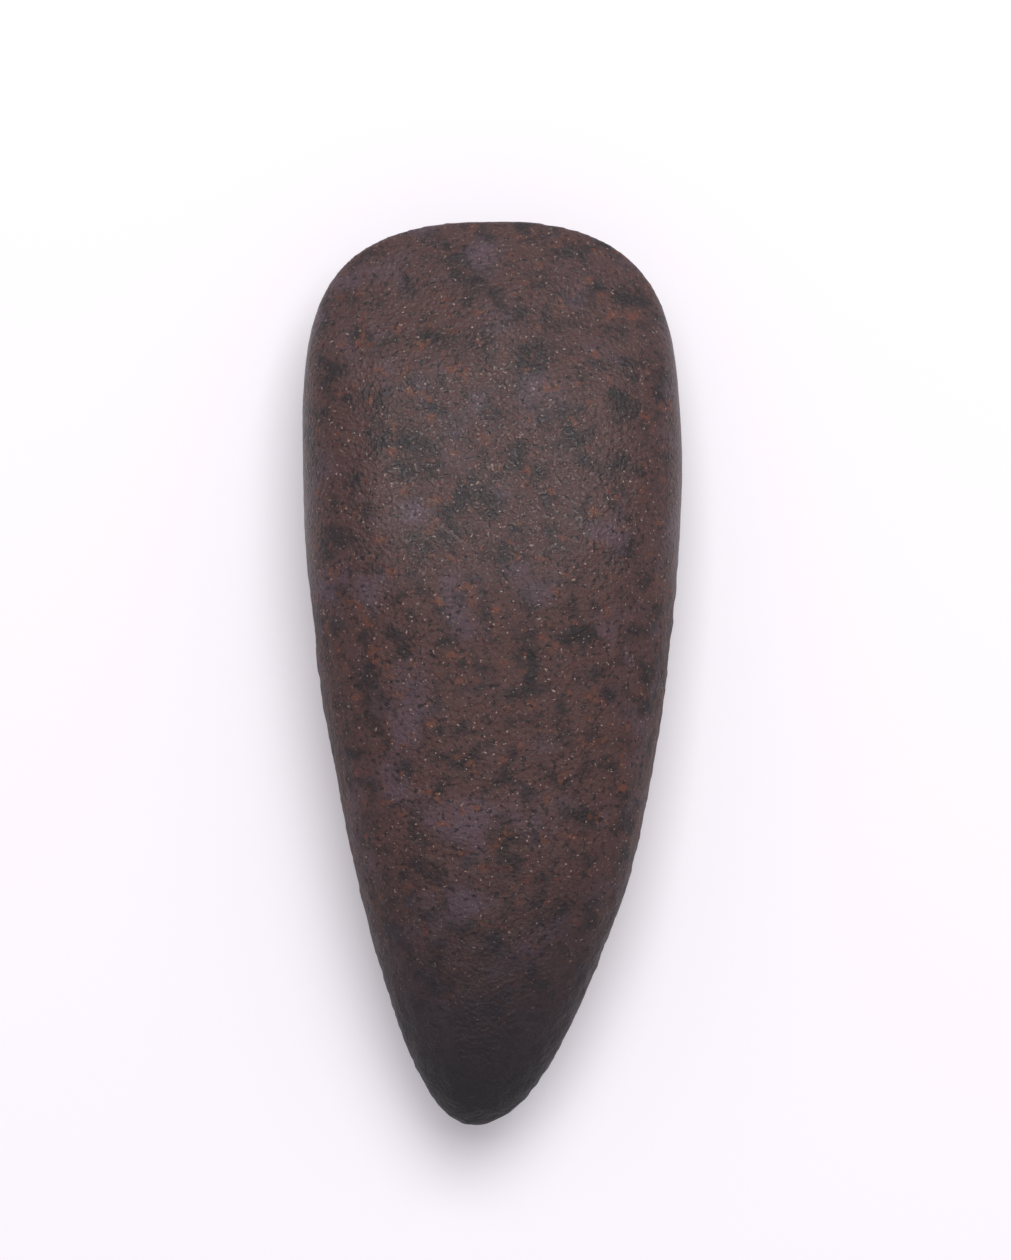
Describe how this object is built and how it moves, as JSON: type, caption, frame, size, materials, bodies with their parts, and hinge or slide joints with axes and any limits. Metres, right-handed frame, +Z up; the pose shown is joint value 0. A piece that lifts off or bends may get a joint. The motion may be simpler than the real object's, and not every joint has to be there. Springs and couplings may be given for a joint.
{
  "type": "stone axe head",
  "caption": "Ground stone axe head with a broad curved cutting edge, convex faces, rounded sides and a blunt tapered butt.",
  "frame": {"origin": "under the middle of the head, on the surface that its lower face rests on", "axes": "+Y towards the cutting edge, +X to the right seen from above, +Z up through the faces"},
  "size_m": [0.063, 0.15, 0.0374],
  "materials": {
    "dark_stone": "ground smooth on the cheeks, finely pecked elsewhere"
  },
  "bodies": {
    "root": {"axe_head": "dark_stone"}
  },
  "joints": []
}
